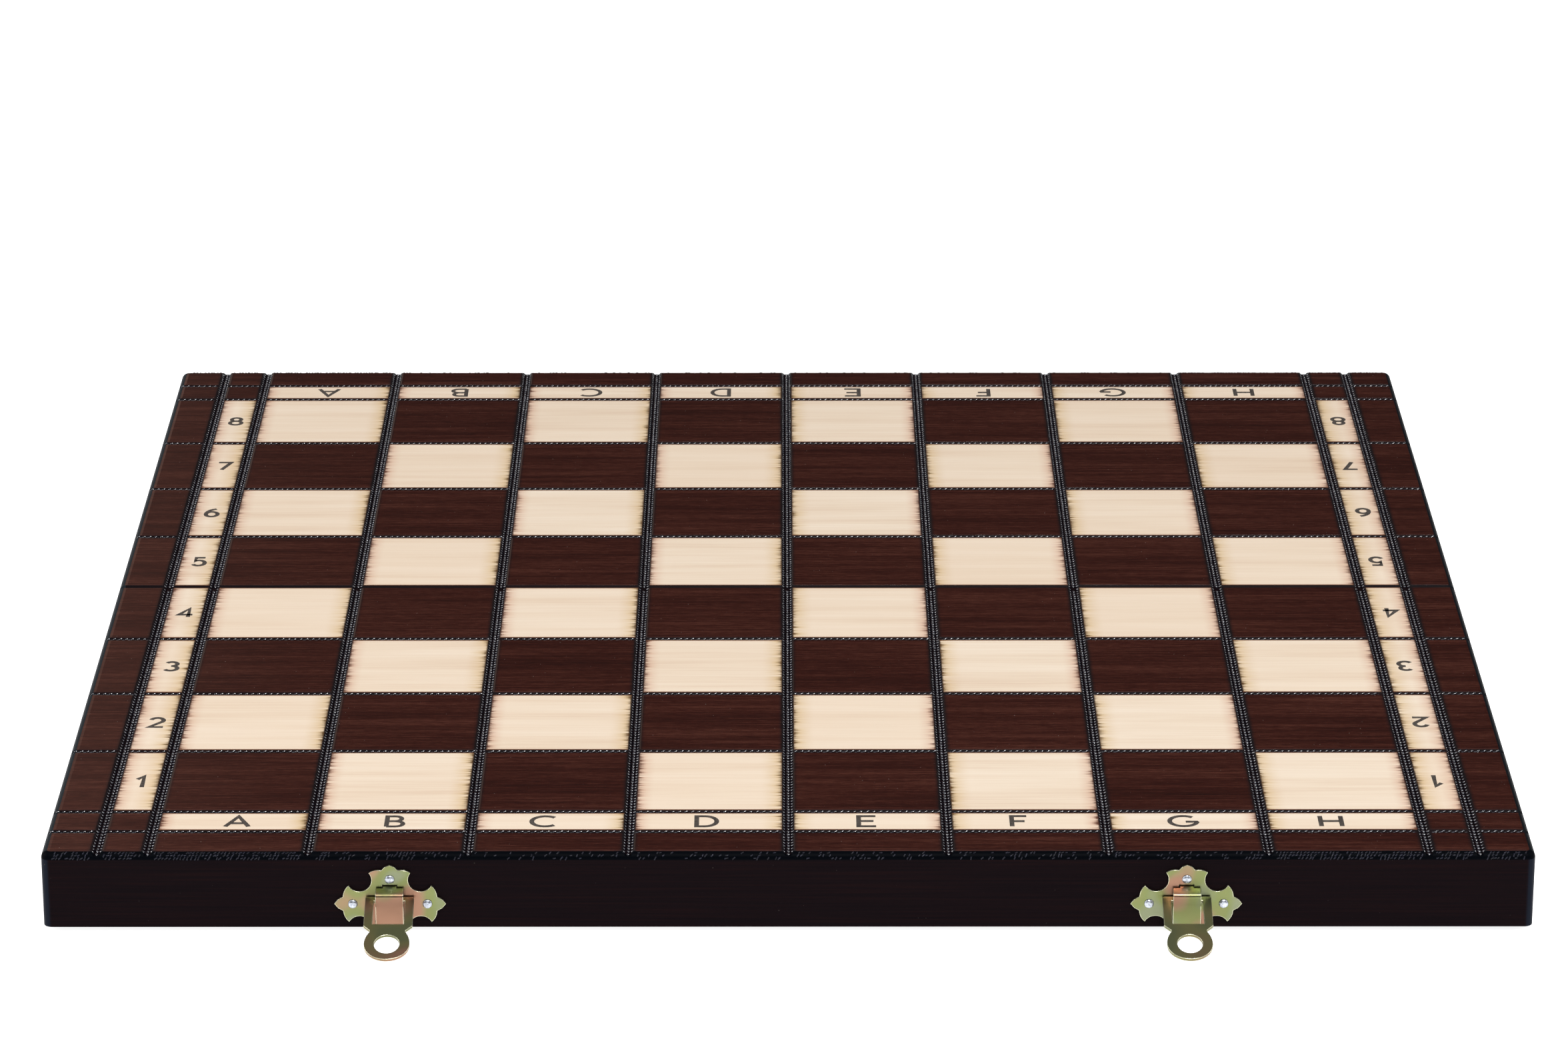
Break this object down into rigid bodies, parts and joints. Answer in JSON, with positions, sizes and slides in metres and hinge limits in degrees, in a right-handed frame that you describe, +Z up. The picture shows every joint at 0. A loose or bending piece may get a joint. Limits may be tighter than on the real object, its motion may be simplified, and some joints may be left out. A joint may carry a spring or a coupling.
{
  "type": "folding chess box",
  "caption": "Folding chess box: two hollow half-boards hinged at the rims, held shut by swinging hasps over hooks; opens to a grooved playing surface.",
  "frame": {"origin": "middle of the fold, in the plane of the rims on which the open board stands", "axes": "+X along the fold, +Y towards the rear half, away from the latches, +Z up out of the playing surface"},
  "size_m": [0.42, 0.4477, 0.0239],
  "materials": {
    "board_lacquer": "gloss",
    "rail_lacquer": "satin",
    "felt": "matte",
    "nail_steel": "bright",
    "screw_brass": "bright",
    "pin_steel": "satin",
    "hinge_brass": "satin",
    "hasp_zinc": "satin",
    "plate_zinc": "satin"
  },
  "bodies": {
    "front_half": {"front_panel": "board_lacquer", "front_outer_rail": "rail_lacquer", "front_hinge_rail": "rail_lacquer", "front_left_rail": "rail_lacquer", "front_right_rail": "rail_lacquer", "front_lining": "felt", "front_hinge_screws": "screw_brass", "latch_nails": "nail_steel", "left_hinge_front_leaf": "hinge_brass", "left_hinge_pin": "pin_steel", "left_latch_plate": "plate_zinc", "right_hinge_front_leaf": "hinge_brass", "right_hinge_pin": "pin_steel", "right_latch_plate": "plate_zinc"},
    "rear_half": {"rear_panel": "board_lacquer", "rear_outer_rail": "rail_lacquer", "rear_hinge_rail": "rail_lacquer", "rear_left_rail": "rail_lacquer", "rear_right_rail": "rail_lacquer", "rear_lining": "felt", "rear_hinge_screws": "screw_brass", "catch_nails": "nail_steel", "left_hinge_rear_leaf": "hinge_brass", "left_catch_plate": "plate_zinc", "right_hinge_rear_leaf": "hinge_brass", "right_catch_plate": "plate_zinc"},
    "left_hasp": {"left_hasp": "hasp_zinc"},
    "right_hasp": {"right_hasp": "hasp_zinc"}
  },
  "joints": [
    {"name": "fold", "type": "hinge", "parent": "front_half", "child": "rear_half", "pos_m": [0, 0, -0.0001], "axis": [-1, 0, 0], "range_deg": [0, 180]},
    {"name": "left_hasp_swing", "type": "hinge", "parent": "front_half", "child": "left_hasp", "pos_m": [-0.112, -0.2121, 0.0092], "axis": [-1, 0, 0], "range_deg": [-68, 102]},
    {"name": "right_hasp_swing", "type": "hinge", "parent": "front_half", "child": "right_hasp", "pos_m": [0.112, -0.2121, 0.0092], "axis": [-1, 0, 0], "range_deg": [-68, 102]}
  ]
}
